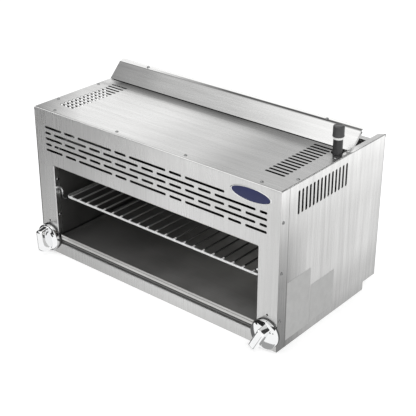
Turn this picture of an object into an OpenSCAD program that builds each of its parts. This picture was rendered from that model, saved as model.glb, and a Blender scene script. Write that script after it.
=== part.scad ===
// Gas cheese melter, 36 inch class: a stainless cabinet with an open front, two
// infrared burners under the top, a sliding wire rack and a sliding crumb tray.
// Frame: +X right, +Y to the rear, +Z up. The origin is on the underside, midway
// between the sides and midway between the front face and the rear flanges.

/* [Cabinet] */
// Width over the side panels
body_w = 914; // [900:2:940]
// Depth from the front face to the rear flanges
body_d = 488; // [480:2:520]
// Height up to the underside of the top panel
body_h = 476; // [470:1:490]
// Thickness of the cabinet sheet
sheet = 1.2; // [1:0.1:1.4]
// Outer radius of the visible folds
bend_r = 2.4; // [2:0.2:3]

/* [Front opening] */
// Width of the posts beside the opening
post_w = 69.5; // [68:0.5:74]
// Height of the bottom rail
rail_h = 38; // [34:1:40]
// Height of the upper edge of the opening
opening_top = 301; // [296:1:302]

/* [Punched slots] */
// Height of a slot in the fascia
slot_h = 7.5; // [5:0.5:8]
// Length of a long fascia slot
slot_long = 136; // [120:2:136]
// Length of a short fascia slot
slot_short = 44; // [30:2:44]
// Metal left between two slots of a row
slot_gap = 13; // [10:1:13]
// Distance from row to row
row_pitch = 18.3; // [16:0.1:20]
// Height of the middle row
row_mid = 385; // [380:1:390]
// Slots in each vent of the sides and the top
vent_count = 14; // [8:1:14]
// Distance from vent slot to vent slot
vent_pitch = 16.8; // [14:0.2:16.8]
// Width of a vent slot
vent_w = 8.4; // [6:0.2:9]

/* [Flue] */
// Rear edge of the top panel
top_end = 71; // [68:1:74]
// Front face of the back panel
back_y = 172.2; // [170:0.1:174]
// How far the deflector leans back
deflector_run = 44; // [36:1:48]
// How far the deflector rises
deflector_rise = 44; // [36:1:48]

/* [Controls] */
// Distance of a knob's axis from the middle
knob_x = 423; // [418:1:426]
// Height of a knob's axis
knob_z = 50; // [48:1:54]
// Radius of a knob's skirt
skirt_r = 43; // [30:1:43]
// Radius of the bezel behind a knob
bezel_r = 44; // [32:1:46]
// Length of a knob's grip
grip_l = 68; // [50:1:70]
// How far the left knob leans to the left of upright, in the pose at rest
knob_lean = 5; // [0:1:10]
// How far the right knob is turned in the pose at rest
knob_turn = 28; // [0:1:45]

/* [Rack and tray] */
// Height of the rack's frame wire
rack_z = 194; // [180:1:200]
// Number of bars in the rack
rack_bars = 21; // [15:1:23]
// Distance from bar to bar
rack_pitch = 35.1; // [30:0.1:35.1]
// Height of the crumb tray's front lip
lip_top = 69; // [66:1:72]

/* [Gas pipe] */
// Outer diameter of the inlet pipe
inlet_d = 26.7; // [20:0.1:26.7]
// Distance of the inlet pipe from the middle
inlet_x = 429; // [427:1:430]
// Place of the inlet pipe from front to rear
inlet_y = 43; // [36:1:44]
// Height of the top of the inlet pipe's cap
cap_top = 558.5; // [550:0.5:565]

/* [Hidden] */
$fn = 48;
side_x = body_w / 2;
front_y = -body_d / 2;
rear_y = body_d / 2;
top_z = body_h + sheet;
gap = 0.1;                                  // clearance between two folded sheets
front_w = body_w - 2 * (sheet + gap);       // the sides cover the front's edges
opening_x = side_x - post_w;
flange_w = 18;                              // flanges of the side panels
return_d = 18;                              // depth of the folds beside the opening
top_return = 24;                            // depth of the fascia's fold under the top panel
notch_h = 26;                               // rear foot notch of the side panels
notch_y = 180;
screw_r = 2;
screw_hole = 2.3;
liner_t = 1;
liner_x = opening_x + sheet + 0.2;          // inner face of the side liners
liner_y = 164;                              // front face of the back liner
deck_z = opening_top + sheet + 0.2;         // sheet that carries the burners
baffle_y = 68;
tile_z = deck_z + sheet + 2.6;
plenum_z = tile_z + 13;
plenum_top = plenum_z + 53;
screen_z = deck_z - 7;
burner_x = [8, 380];                        // a burner's ends from the middle
burner_y = [-206, 58];
burner_mid = (burner_y[0] + burner_y[1]) / 2;
shield_z = 430;
mixer_z = 345;
pipe_r = 10.65;                             // half inch pipe
manifold_y = -205;
manifold_z = 18;
boss_top = 34;
valve_r = 12;
gland_y = -238;
stem_r = 4;
supply_y = -188;
supply_r = 4.8;
pilot_y = -216;
pilot_z = 106;
pilot_burner_z = deck_z - 13;
orifice_x = 423;
wire_r = 3.5;
bar_r = 2.5;
rack_x = 371;
rack_front = front_y + 30;
rack_rear = rack_front + 304;
guide_r = 3;
guide_x = 372;
guide_post_x = opening_x - guide_r;         // upright of a rack guide
guide_z = rack_z - wire_r - guide_r - 0.3;
tray_x = knob_x - bezel_r - 1.5;            // the tray slides out between the bezels
tray_z = 53.6;
runner_z = tray_z - 0.4 - sheet;
runner_w = 26;
vent_mid = 80;                              // middle of the top vents from the sides
vent_top_l = 64;
vent_side_l = 68;
vent_side_z = 420;
leg_x = 350;
leg_y = [-150, 120];
leg_hole = 5.5;
wall_x = 447;
wall_z = [120, 420];
wall_hole = 3.6;
fit = 0.05;                                 // running clearance of a shaft

// ---- helpers ---------------------------------------------------------------

// A flat section drawn as (Y, Z) and drawn out along X
module along_x(length) rotate([90, 0, 90]) linear_extrude(length, center = true) children();

// A flat section drawn as (X, Z) and drawn out towards the rear
module towards_rear(depth) mirror([0, 1, 0]) rotate([90, 0, 0]) linear_extrude(depth) children();

// Anything made for the right hand side, put on the side asked for
module on_side(side) mirror([side == "left" ? 1 : 0, 0, 0]) children();

// A bar with round ends, centred, lying along the first axis
module slot(length, width) {
    square([length - width, width], center = true);
    for (s = [-1, 1]) translate([s * (length - width) / 2, 0]) circle(d = width);
}

// A folded edge: legs along +x and +y from a rounded outer corner at the origin
module fold(leg_a, leg_b) {
    translate([bend_r, 0]) square([leg_a - bend_r, sheet]);
    translate([0, bend_r]) square([sheet, leg_b - bend_r]);
    intersection() {
        translate([bend_r, bend_r]) difference() {
            circle(bend_r);
            circle(bend_r - sheet);
        }
        square(bend_r);
    }
}

// A sheet that follows the corner points of a line, its thickness to the left
function heading(a, b) = (b - a) / norm(b - a);
function left_of(v) = [-v[1], v[0]];
function mitre(a, b, c) = (left_of(heading(a, b)) + left_of(heading(b, c)))
    / (1 + heading(a, b) * heading(b, c));
function beside(p, t) = [for (i = [0 : len(p) - 1])
    p[i] + t * (i == 0 ? left_of(heading(p[0], p[1]))
        : i == len(p) - 1 ? left_of(heading(p[i - 1], p[i]))
        : mitre(p[i - 1], p[i], p[i + 1]))];
function turned(p) = [for (i = [len(p) - 1 : -1 : 0]) p[i]];
module folded(points, t = sheet) polygon(concat(points, turned(beside(points, t))));

// A straight round bar or tube from a to b, which differ along one axis only
module rod(a, b, r) {
    d = b - a;
    translate(a) rotate([0, acos(d[2] / norm(d)), atan2(d[1], d[0])]) cylinder(h = norm(d), r = r);
}

// A quarter bend about a centre, from the side u of the centre to its side v
module quarter(centre, u, v, bend, r) {
    w = cross(u, v);
    multmatrix([[u[0], v[0], w[0], centre[0]], [u[1], v[1], w[1], centre[1]],
        [u[2], v[2], w[2], centre[2]], [0, 0, 0, 1]])
        rotate_extrude(angle = 90) translate([bend, 0]) circle(r);
}

// A pan head screw with a cross recess; the head sits on z = 0
module pan_screw(shank = 7) {
    difference() {
        intersection() {
            cylinder(h = 2.6, r = 4.8);
            translate([0, 0, -4.4]) sphere(7);
        }
        for (a = [0, 90]) rotate(a) translate([-2.6, -0.5, 1.4]) cube([5.2, 1, 2]);
    }
    translate([0, 0, -shank]) cylinder(h = shank, r = screw_r);
}

// ---- places shared by several pieces --------------------------------------

top_screw_places = [
    for (x = [-382.5, -127.5, 127.5, 382.5]) [x, front_y + 16],
    for (s = [-1, 1], y = [-157, 12]) [s * (side_x - 13), y]
];
side_screw_places = [for (z = [94, 239, 387]) [front_y + 11, z]];
liner_screw_places = [for (z = [134, 254]) [front_y + 12, z]];
lip_screw_x = 336;

module top_screw_holes()
    for (p = top_screw_places)
        translate([p[0], p[1], body_h - 4]) cylinder(h = 8, r = screw_hole);

module side_screw_holes()
    for (p = side_screw_places)
        translate([side_x - 5, p[0], p[1]]) rotate([0, 90, 0]) cylinder(h = 8, r = screw_hole);

module liner_screw_holes()
    for (p = liner_screw_places)
        translate([opening_x - 1, p[0], p[1]]) rotate([0, 90, 0]) cylinder(h = 6, r = screw_hole);

// ---- cabinet ---------------------------------------------------------------

row_odd = [70, slot_short, slot_long, slot_short, slot_long, slot_short, slot_long, slot_short, 70];
row_even = [24, slot_long, slot_short, slot_long, slot_short, slot_long, slot_short, slot_long, 24];
function row_start(row, i) = i == 0 ? 0 : row_start(row, i - 1) + row[i - 1] + slot_gap;
function row_length(row) = row_start(row, len(row)) - slot_gap;

// One row of fascia slots; the last few are left out where the badge sits
module slot_row(row, left_out = 0)
    for (i = [0 : len(row) - 1 - left_out])
        translate([row_start(row, i) + row[i] / 2 - row_length(row) / 2, 0]) slot(row[i], slot_h);

module fascia_slots()
    for (k = [-2 : 2])
        translate([0, row_mid + k * row_pitch])
            slot_row(k % 2 == 0 ? row_odd : row_even, k == 2 ? 2 : 0);

// The cut round the opening leaves room for its rounded folds
module opening_cut() {
    opening_h = opening_top - rail_h;
    translate([-opening_x - bend_r, rail_h]) square([2 * (opening_x + bend_r), opening_h]);
    translate([-opening_x, rail_h - bend_r]) square([2 * opening_x, opening_h + 2 * bend_r]);
}

module front_panel() color("silver") {
    opening_h = opening_top - rail_h;
    return_l = 2 * opening_x - 1;           // stops short of the corners, as a relief cut
    difference() {
        union() {
            translate([0, front_y, 0]) towards_rear(sheet) difference() {
                translate([-front_w / 2 + bend_r, 0]) square([front_w - 2 * bend_r, body_h - bend_r]);
                opening_cut();
                fascia_slots();
                for (s = [-1, 1]) translate([s * knob_x, knob_z]) circle(10);
                for (s = [-1, 1]) translate([s * knob_x, pilot_z]) circle(3.2);
            }
            translate([0, front_y, body_h]) mirror([0, 0, 1]) along_x(front_w) fold(top_return, 8);
            translate([0, front_y, opening_top]) along_x(return_l) fold(12, 6);
            translate([0, front_y, rail_h]) mirror([0, 0, 1]) along_x(return_l) fold(7, 6);
            for (side = ["left", "right"]) on_side(side) {
                translate([opening_x, front_y, rail_h]) linear_extrude(opening_h) fold(6, return_d);
                translate([front_w / 2, front_y, 0]) mirror([1, 0, 0])
                    linear_extrude(body_h - 8.5) fold(6, 20);
            }
        }
        top_screw_holes();
        for (side = ["left", "right"]) on_side(side) {
            side_screw_holes();
            liner_screw_holes();
        }
    }
}

pipe_hole_r = 21;

module top_panel() color("gainsboro") difference() {
    union() {
        translate([-side_x + 3, front_y + 3, body_h])
            cube([body_w - 6, top_end - front_y - 3, sheet]);
        translate([-side_x + flange_w + 1, top_end - sheet, body_h - 18])
            cube([body_w - 2 * flange_w - 2, sheet, 18]);
    }
    // the left vent starts one slot further forward
    for (s = [-1, 1], k = [0 : vent_count - 1])
        translate([s * (side_x - vent_mid), -165 + (k + min(s, 0)) * vent_pitch, body_h - 1])
            linear_extrude(4) slot(vent_top_l, vent_w);
    translate([inlet_x, inlet_y + 6.5, body_h - 1]) cylinder(h = 4, r = pipe_hole_r);
    top_screw_holes();
}

module side_panel() difference() {
    flange_y = front_y + top_return + 1;
    union() {
        translate([side_x - sheet, front_y, 0]) cube([sheet, body_d - bend_r, body_h - bend_r]);
        // top flange, folded inwards and mitred at the rear corner
        intersection() {
            translate([side_x, (front_y + 1.5 + rear_y) / 2, body_h]) rotate([90, 180, 0])
                linear_extrude(body_d - 1.5, center = true) fold(flange_w, 8);
            linear_extrude(body_h + 1) polygon([
                [side_x - flange_w, flange_y], [side_x - flange_w, rear_y - flange_w + 4],
                [side_x + 1, rear_y + 1], [side_x + 1, front_y], [side_x - sheet, front_y],
                [side_x - sheet, flange_y]
            ]);
        }
        // rear flange
        translate([side_x, rear_y, 0]) rotate([0, 0, 180])
            linear_extrude(body_h - flange_w / 2) fold(flange_w, 8);
    }
    for (k = [0 : vent_count - 1])
        translate([side_x - 3, -168 + k * vent_pitch, vent_side_z]) rotate([0, 90, 0])
            linear_extrude(6) slot(vent_side_l, vent_w);
    translate([side_x - 40, notch_y, -1]) cube([60, body_d, notch_h + 1]);
    for (z = wall_z) translate([wall_x, rear_y - 3, z]) rotate([-90, 0, 0]) cylinder(h = 6, r = wall_hole);
    translate([inlet_x, inlet_y, body_h - 4]) cylinder(h = 8, r = inlet_d / 2 + 1.5);
    top_screw_holes();
    side_screw_holes();
}

module side_panel_left() color("lightgray") on_side("left") side_panel();
module side_panel_right() color("lightgray") on_side("right") side_panel();

module back_panel() color("silver") {
    plate_w = front_w - 0.2;
    inner_w = body_w - 2 * flange_w - 1;
    translate([-plate_w / 2, back_y, sheet + 0.2]) cube([plate_w, sheet, body_h - sheet - 4]);
    translate([0, back_y, body_h]) mirror([0, 0, 1]) along_x(inner_w) fold(19, 8);
    for (s = [-1, 1])
        translate([s * (plate_w - sheet) / 2, back_y + 8, 250]) cube([sheet, 16, 430], center = true);
}

module base_panel() color("silver") difference() {
    base_w = front_w - 2 * (sheet + gap) - 2;  // clears the inside of the front's folds
    base_l = back_y + 2 * sheet + 0.2 - (front_y + sheet + gap);
    translate([0, front_y + sheet + gap, 0]) union() {
        translate([-base_w / 2, 0, 0]) cube([base_w, base_l, sheet]);
        translate([-base_w / 2, 0, 0]) cube([base_w, sheet, 30]);
        translate([-base_w / 2, base_l - sheet, 0]) cube([base_w, sheet, 22]);
        for (s = [-1, 1])
            translate([s * (base_w - sheet) / 2 - sheet / 2, 0, 0]) cube([sheet, base_l - 8, 18]);
    }
    for (s = [-1, 1], y = leg_y) translate([s * leg_x, y, -1]) cylinder(h = 4, r = leg_hole);
    for (s = [-1, 1]) translate([s * knob_x, front_y, knob_z]) rotate([-90, 0, 0]) cylinder(h = 4, r = 24);
}

// ---- flue ------------------------------------------------------------------

deflector_y = top_end + 3;
deflector_foot = top_z + 1.5;
deflector_top = [deflector_y + deflector_run, deflector_foot + deflector_rise];
lip = [17, 5];

module flue_deflector() color("gainsboro") {
    half = side_x - 5;
    leg_half = side_x - flange_w - 2;
    back = deflector_y + sheet;              // rear face of the leg
    slope_top = [deflector_top[0] + sheet, deflector_top[1]];
    difference() {
        union() {
            translate([-leg_half, deflector_y, body_h - 26])
                cube([2 * leg_half, sheet, deflector_foot - 1 - body_h + 26]);
            along_x(2 * half) folded([[back, deflector_foot - 1.2], [back, deflector_foot],
                slope_top, deflector_top + lip]);
        }
        for (s = [-1, 1]) translate([s * lip_screw_x, 0, 0]) lip_screw()
            cylinder(h = 8, r = screw_hole, center = true);
    }
    // stiffening returns at both ends
    for (s = [-1, 1]) translate([s * (half - sheet / 2), 0, 0]) along_x(sheet)
        polygon([[back, deflector_foot], slope_top, slope_top + [7, -5], [back + 8, deflector_foot]]);
}

// Puts its children on the lip, square to it
module lip_screw() {
    slope = atan2(lip[1], lip[0]);
    translate([0, deflector_top[0] + lip[0] / 2, deflector_top[1] + lip[1] / 2 + 0.6])
        rotate([slope, 0, 0]) children();
}

module flue_baffle() color("dimgray")
    along_x(2 * liner_x - 1) folded([[baffle_y - 16, 456], [baffle_y, 456],
        [baffle_y, deck_z + sheet], [baffle_y - 8, deck_z + sheet]], -1);

module heat_shield() color("darkgray") difference() {
    along_x(2 * liner_x - 8) folded([[front_y + 12, shield_z - 14], [front_y + 12, shield_z],
        [baffle_y - 2, shield_z], [baffle_y - 2, shield_z - 14]], -1);
    for (s = [-1, 1], y = [-150, 0]) translate([s * 120, y, shield_z - 3]) cylinder(h = 6, r = 6);
}

// ---- oven lining -----------------------------------------------------------

module burner_deck() color("dimgray") difference() {
    union() {
        translate([-402, front_y + 4, deck_z]) cube([804, baffle_y - front_y - 4, sheet]);
        translate([-402, front_y + 4, deck_z]) cube([804, sheet, 12]);
    }
    for (s = [-1, 1]) translate([s * (burner_x[0] + burner_x[1]) / 2, burner_mid, deck_z - 1])
        linear_extrude(4) square([burner_x[1] - burner_x[0] - 14, burner_y[1] - burner_y[0] - 14], center = true);
}

module liner() {
    liner_front = front_y + 3;
    difference() {
        union() {
            translate([liner_x, liner_front, sheet + 0.2])
                cube([liner_t, liner_y - liner_front, deck_z - sheet - 0.4]);
            translate([liner_x, liner_front, sheet + 0.2]) cube([15, liner_y - liner_front, liner_t]);
            translate([liner_x, liner_front, deck_z - liner_t - 0.2]) cube([13, liner_y - liner_front, liner_t]);
        }
        translate([liner_x - 2, manifold_y, manifold_z]) rotate([0, 90, 0]) cylinder(h = 5, r = pipe_r + 1.5);
        translate([liner_x - 2, pilot_y, pilot_burner_z]) rotate([0, 90, 0]) cylinder(h = 5, r = 4);
        liner_screw_holes();
    }
}

module liner_left() color("#303030") on_side("left") liner();
module liner_right() color("#303030") on_side("right") liner();

module liner_back() color("#303030")
    along_x(2 * liner_x - 0.4) folded([[liner_y - 14, sheet + 0.2], [liner_y, sheet + 0.2],
        [liner_y, body_h - 3]], liner_t);

// An angle that carries one edge of the crumb tray
module tray_runner() {
    runner_x = liner_x - 0.1;
    runner_front = front_y + return_d + 2;
    difference() {
        translate([runner_x - runner_w, runner_front, runner_z])
            cube([runner_w, liner_y - 16 - runner_front, 12]);
        translate([runner_x - runner_w - sheet, runner_front - 1, runner_z + sheet])
            cube([runner_w, liner_y - runner_front, 14]);
    }
}

module tray_runner_left() color("dimgray") on_side("left") tray_runner();
module tray_runner_right() color("dimgray") on_side("right") tray_runner();

// The dark strip seen between the bottom rail and the tray's lip
module tray_ledge() color("dimgray")
    along_x(2 * opening_x) folded([[front_y + 9, 24], [front_y + 9, 48], [front_y + 32, 48]], -sheet);

// A bent wire: curls down behind the post, jogs inwards and runs back under the rack
module rack_guide() {
    curl = 22;
    y = front_y + 3 + curl;
    jog = (guide_post_x - guide_x) / 2;
    end_y = rack_rear - 16;
    quarter([guide_post_x, y - curl, guide_z + 20], [0, 0, 1], [0, 1, 0], curl, guide_r);
    rod([guide_post_x, y, guide_z + jog], [guide_post_x, y, guide_z + 20], guide_r);
    quarter([guide_post_x - jog, y, guide_z + jog], [1, 0, 0], [0, 0, -1], jog, guide_r);
    quarter([guide_post_x - jog, y + jog, guide_z], [0, -1, 0], [-1, 0, 0], jog, guide_r);
    rod([guide_x, y + jog, guide_z], [guide_x, end_y, guide_z], guide_r);
    quarter([guide_x + 10, end_y, guide_z], [-1, 0, 0], [0, 1, 0], 10, guide_r);
    rod([guide_x + 10, end_y + 10, guide_z], [liner_x, end_y + 10, guide_z], guide_r);
}

module rack_guide_left() color("silver") on_side("left") rack_guide();
module rack_guide_right() color("silver") on_side("right") rack_guide();

// ---- rack and tray ---------------------------------------------------------

corner_r = 14;

// A rectangular loop of wire with bent corners
module wire_loop(half_x, y0, y1, z, r) {
    for (s = [-1, 1]) translate([s * half_x, (y0 + y1) / 2, z]) rotate([90, 0, 0])
        cylinder(h = y1 - y0 - 2 * corner_r, r = r, center = true);
    for (y = [y0, y1]) translate([0, y, z]) rotate([0, 90, 0])
        cylinder(h = 2 * (half_x - corner_r), r = r, center = true);
    for (side = ["left", "right"]) on_side(side) {
        quarter([half_x - corner_r, y0 + corner_r, z], [0, -1, 0], [1, 0, 0], corner_r, r);
        quarter([half_x - corner_r, y1 - corner_r, z], [1, 0, 0], [0, 1, 0], corner_r, r);
    }
}

module wire_rack() color("silver") {
    bar_z = rack_z + wire_r + bar_r - 0.8;
    wire_loop(rack_x, rack_front, rack_rear, rack_z, wire_r);
    translate([0, (rack_front + rack_rear) / 2, rack_z]) rotate([0, 90, 0])
        cylinder(h = 2 * rack_x, r = wire_r, center = true);
    for (i = [0 : rack_bars - 1])
        translate([(i - (rack_bars - 1) / 2) * rack_pitch, rack_front - 5, bar_z]) rotate([-90, 0, 0])
            cylinder(h = rack_rear - rack_front + 10, r = bar_r);
}

module crumb_tray() color("gray") {
    tray_l = 392;
    lip_y = front_y + 0.8;
    translate([-tray_x, lip_y, tray_z]) cube([2 * tray_x, tray_l, sheet]);
    for (s = [-1, 1])
        translate([s * (tray_x - sheet / 2) - sheet / 2, lip_y, tray_z]) cube([sheet, tray_l, 13]);
    translate([-tray_x, lip_y + tray_l - sheet, tray_z]) cube([2 * tray_x, sheet, 13]);
    // front lip: a flat band, a groove and a folded hem
    translate([0, lip_y, 0]) along_x(2 * tray_x) {
        translate([0, tray_z]) square([2 * sheet, lip_top - tray_z - 7]);
        translate([sheet, tray_z]) square([sheet, lip_top - tray_z - 2]);
        translate([0, lip_top - 5.2]) square([4, 3.2]);
        translate([2, lip_top - 2]) circle(2);
    }
}

// ---- burners ---------------------------------------------------------------

burner_l = burner_x[1] - burner_x[0];
burner_w = burner_y[1] - burner_y[0];

// A hollow box over one burner, centred on it
module burner_box(grow, z0, z1)
    translate([burner_x[0] - grow, burner_y[0] - grow, z0])
        cube([burner_l + 2 * grow, burner_w + 2 * grow, z1 - z0]);

module burner_body() difference() {
    union() {
        burner_box(-6, plenum_z + 0.2, plenum_top);
        burner_box(0, plenum_z + 0.2, plenum_z + 1.7);
    }
    burner_box(-7.5, plenum_z - 1, plenum_top - 1.5);
    translate([burner_x[1] - 30, burner_mid, mixer_z]) rotate([0, 90, 0]) cylinder(h = 40, r = 19.3);
}

module burner_body_left() color("darkgray") on_side("left") burner_body();
module burner_body_right() color("darkgray") on_side("right") burner_body();

module burner_frame() difference() {
    burner_box(0, deck_z + sheet, plenum_z);
    burner_box(-8, deck_z, tile_z);
    burner_box(-1.5, tile_z, plenum_z + 1);
}

module burner_frame_left() color("gray") on_side("left") burner_frame();
module burner_frame_right() color("gray") on_side("right") burner_frame();

// Ceramic plaques, two rows of four in each burner
module burner_tiles() {
    across = 4;
    deep = 2;
    tile_l = (burner_l - 5) / across;
    tile_w = (burner_w - 5) / deep;
    for (i = [0 : across - 1], j = [0 : deep - 1])
        translate([burner_x[0] + 2.5 + i * tile_l + 0.5, burner_y[0] + 2.5 + j * tile_w + 0.5, tile_z + 0.2])
            cube([tile_l - 1, tile_w - 1, 12.6]);
}

module burner_tiles_left() color("wheat") on_side("left") burner_tiles();
module burner_tiles_right() color("wheat") on_side("right") burner_tiles();

// Glow rods under the plaques, welded to two rails
module burner_screen() {
    rods = 14;
    for (i = [0 : rods - 1])
        translate([burner_x[0] + 12 + i * (burner_l - 24) / (rods - 1), burner_y[0] + 1, screen_z])
            rotate([-90, 0, 0]) cylinder(h = burner_w - 2, r = 1.6, $fn = 24);
    for (y = [burner_y[0] + 1, burner_y[1] - 5])
        translate([burner_x[0] + 4, y, screen_z]) cube([burner_l - 8, 4, deck_z - screen_z]);
}

module burner_screen_left() color("dimgray") on_side("left") burner_screen();
module burner_screen_right() color("dimgray") on_side("right") burner_screen();

// Mixing tube: a flared mouth in the side space and a long tube in the plenum
module mixer_tube() translate([398, burner_mid, mixer_z]) rotate([0, -90, 0])
    rotate_extrude($fn = 64) polygon([[24, 0], [26, 0], [19, 16], [19, 190], [17.5, 190],
        [17.5, 60], [14, 22], [17.5, 14]]);

module mixer_tube_left() color("gray") on_side("left") mixer_tube();
module mixer_tube_right() color("gray") on_side("right") mixer_tube();

// Brass elbow with the gas jet that points into the mixing tube
module orifice() translate([orifice_x, burner_mid, mixer_z]) difference() {
    union() {
        sphere(9);
        rotate([90, 0, 0]) cylinder(h = 14, r = 8);
        rotate([0, -90, 0]) cylinder(h = 12, r = 7);
        rotate([0, -90, 0]) cylinder(h = 20, r = 4.5);
    }
    rotate([90, 0, 0]) cylinder(h = 15, r = 3);
    rotate([0, -90, 0]) cylinder(h = 21, r = 0.9);
}

module orifice_left() color("goldenrod") on_side("left") orifice();
module orifice_right() color("goldenrod") on_side("right") orifice();

// Tube from the valve up the side space and back to the jet
supply_bend = 25;
module supply_path(r, from_z, end_y) {
    y = supply_y + supply_bend;
    rod([knob_x, supply_y, from_z], [knob_x, supply_y, mixer_z - supply_bend], r);
    quarter([knob_x, y, mixer_z - supply_bend], [0, -1, 0], [0, 0, 1], supply_bend, r);
    rod([knob_x, y, mixer_z], [knob_x, end_y, mixer_z], r);
}

module supply_tube() {
    outlet_z = knob_z + 24;
    end_y = burner_mid - 14;
    difference() {
        union() {
            supply_path(supply_r, outlet_z, end_y);
            translate([knob_x, end_y - 12, mixer_z]) rotate([-90, 0, 0]) cylinder(h = 12, r = 7.5, $fn = 6);
        }
        supply_path(supply_r - 0.9, outlet_z - 1, end_y + 1);
    }
}

module supply_tube_left() color("gainsboro") on_side("left") supply_tube();
module supply_tube_right() color("gainsboro") on_side("right") supply_tube();

// ---- gas train -------------------------------------------------------------

pilot_boss_x = 402;

module manifold() color("#404040") {
    right_end = inlet_x - 12;
    translate([-442, manifold_y, manifold_z]) rotate([0, 90, 0]) cylinder(h = 442 + right_end, r = pipe_r);
    translate([-446, manifold_y, manifold_z]) rotate([0, 90, 0]) cylinder(h = 16, r = 13.5);
    for (s = [-1, 1])
        translate([s * pilot_boss_x, manifold_y, manifold_z]) cylinder(h = boss_top - manifold_z, r = 4.5);
    translate([-knob_x, manifold_y, manifold_z]) cylinder(h = boss_top - manifold_z, r = 9);
}

// Front corner of the gas line; its boss carries the right valve
module elbow_front() color("#484848") translate([inlet_x, manifold_y, manifold_z]) {
    difference() {
        union() {
            sphere(14);
            rotate([-90, 0, 0]) cylinder(h = 20, r = 14.5);
            rotate([0, -90, 0]) cylinder(h = 20, r = 14.5);
            translate([knob_x - inlet_x, 0, 0]) cylinder(h = boss_top - manifold_z, r = 9);
        }
        translate([0, 8, 0]) rotate([-90, 0, 0]) cylinder(h = 13, r = pipe_r + 0.1);
        translate([-12, 0, 0]) rotate([0, -90, 0]) cylinder(h = 13, r = pipe_r + 0.1);
    }
}

module feed_pipe() color("#404040")
    translate([inlet_x, manifold_y + 8.5, manifold_z]) rotate([-90, 0, 0])
        cylinder(h = inlet_y - 10 - manifold_y - 8.5, r = pipe_r);

module elbow_rear() color("#484848") translate([inlet_x, inlet_y, manifold_z]) difference() {
    union() {
        sphere(15.5);
        rotate([90, 0, 0]) cylinder(h = 22, r = 14.5);
        cylinder(h = 30, r = 16.8);
    }
    translate([0, -9, 0]) rotate([90, 0, 0]) cylinder(h = 14, r = pipe_r + 0.1);
    translate([0, 0, 12]) cylinder(h = 20, r = inlet_d / 2 + 0.1);
}

module inlet_pipe() color("#484848") translate([inlet_x, inlet_y, manifold_z + 12.5]) difference() {
    cylinder(h = cap_top - 4 - manifold_z - 12.5, r = inlet_d / 2);
    translate([0, 0, 2]) cylinder(h = cap_top, r = inlet_d / 2 - 2.9);
}

cap_h = 31.5;

module seal_ring() color("white") translate([inlet_x, inlet_y, cap_top - cap_h - 7]) difference() {
    cylinder(h = 6.8, r = inlet_d / 2 + 1.4);
    translate([0, 0, -1]) cylinder(h = 9, r = inlet_d / 2 + fit);
}

module thread_cap() color("#303030") translate([inlet_x, inlet_y, cap_top - cap_h]) difference() {
    union() {
        cylinder(h = cap_h - 2, r = 16.3);
        translate([0, 0, cap_h - 2]) cylinder(h = 2, r1 = 16.3, r2 = 14.3);
    }
    translate([0, 0, -1]) cylinder(h = cap_h - 3, r = inlet_d / 2 + fit);
}

// Plug valve: inlet below, outlet above, stem through the gland in front
module valve() translate([knob_x, 0, knob_z]) difference() {
    union() {
        translate([0, -232, 0]) rotate([-90, 0, 0]) cylinder(h = 56, r = valve_r);
        translate([0, gland_y, 0]) rotate([-90, 0, 0]) cylinder(h = 7, r = 9, $fn = 6);
        translate([0, manifold_y, boss_top - knob_z]) cylinder(h = knob_z - boss_top, r = 7.5);
        translate([0, supply_y, 0]) cylinder(h = 18, r = 7);
        translate([0, supply_y, 14]) cylinder(h = 10, r = 8, $fn = 6);
    }
    translate([0, gland_y - 1, 0]) rotate([-90, 0, 0]) cylinder(h = 20, r = stem_r + fit);
    translate([0, -227, 0]) rotate([-90, 0, 0]) cylinder(h = 28, r = 8 + fit);
    translate([0, supply_y, 0]) cylinder(h = 25, r = supply_r - 0.9);
}

module valve_left() color("goldenrod") on_side("left") valve();
module valve_right() color("goldenrod") on_side("right") valve();

// Stem and plug turn together inside the valve
module valve_stem() translate([knob_x, 0, knob_z]) {
    translate([0, -276, 0]) rotate([-90, 0, 0]) cylinder(h = 50, r = stem_r);
    translate([0, -226.8, 0]) rotate([-90, 0, 0]) cylinder(h = 27, r = 8);
}

module valve_stem_left() color("darkgoldenrod") on_side("left") valve_stem();
module valve_stem_right() color("darkgoldenrod") on_side("right") valve_stem();

// Knob: a cupped round skirt, a low dome and a thick bar grip; made about the Y axis
grip_w = 24;
grip_front = 51;
skirt_y = [5, 15];
dome_top = 23;
module knob() rotate([90, 0, 0]) difference() {
    rise = dome_top - skirt_y[1];
    dome_r = (skirt_r * skirt_r + rise * rise) / (2 * rise);
    union() {
        rotate_extrude($fn = 96) intersection() {
            square([skirt_r, dome_top]);
            translate([0, dome_top - dome_r]) circle(dome_r, $fn = 256);
        }
        linear_extrude(grip_front - 4) rotate(90) slot(grip_l, grip_w);
        linear_extrude(grip_front - 1.4) rotate(90) slot(grip_l - 3, grip_w - 3);
        linear_extrude(grip_front) rotate(90) slot(grip_l - 7, grip_w - 7);
    }
    translate([0, 0, -1]) cylinder(h = skirt_y[0] + 1, r = 60);
    translate([0, 0, skirt_y[0] - 1]) rotate_extrude() translate([8, 0]) square([skirt_r - 10.5, 7]);
    cylinder(h = 33, r = stem_r + fit);
}

module knob_left() color("gainsboro") translate([-knob_x, front_y, knob_z]) rotate([0, -knob_lean, 0]) knob();
module knob_right() color("gainsboro") translate([knob_x, front_y, knob_z]) rotate([0, knob_turn, 0]) knob();

module bezel() translate([knob_x, front_y, knob_z]) rotate([90, 0, 0]) rotate_extrude($fn = 96) {
    translate([9, 0]) square([bezel_r - 11, 4]);
    translate([bezel_r - 3, 0]) square([3, 2]);
    translate([bezel_r - 2, 2]) circle(2);
}

module bezel_left() color("gainsboro") on_side("left") bezel();
module bezel_right() color("gainsboro") on_side("right") bezel();

// ---- pilots ----------------------------------------------------------------

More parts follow.
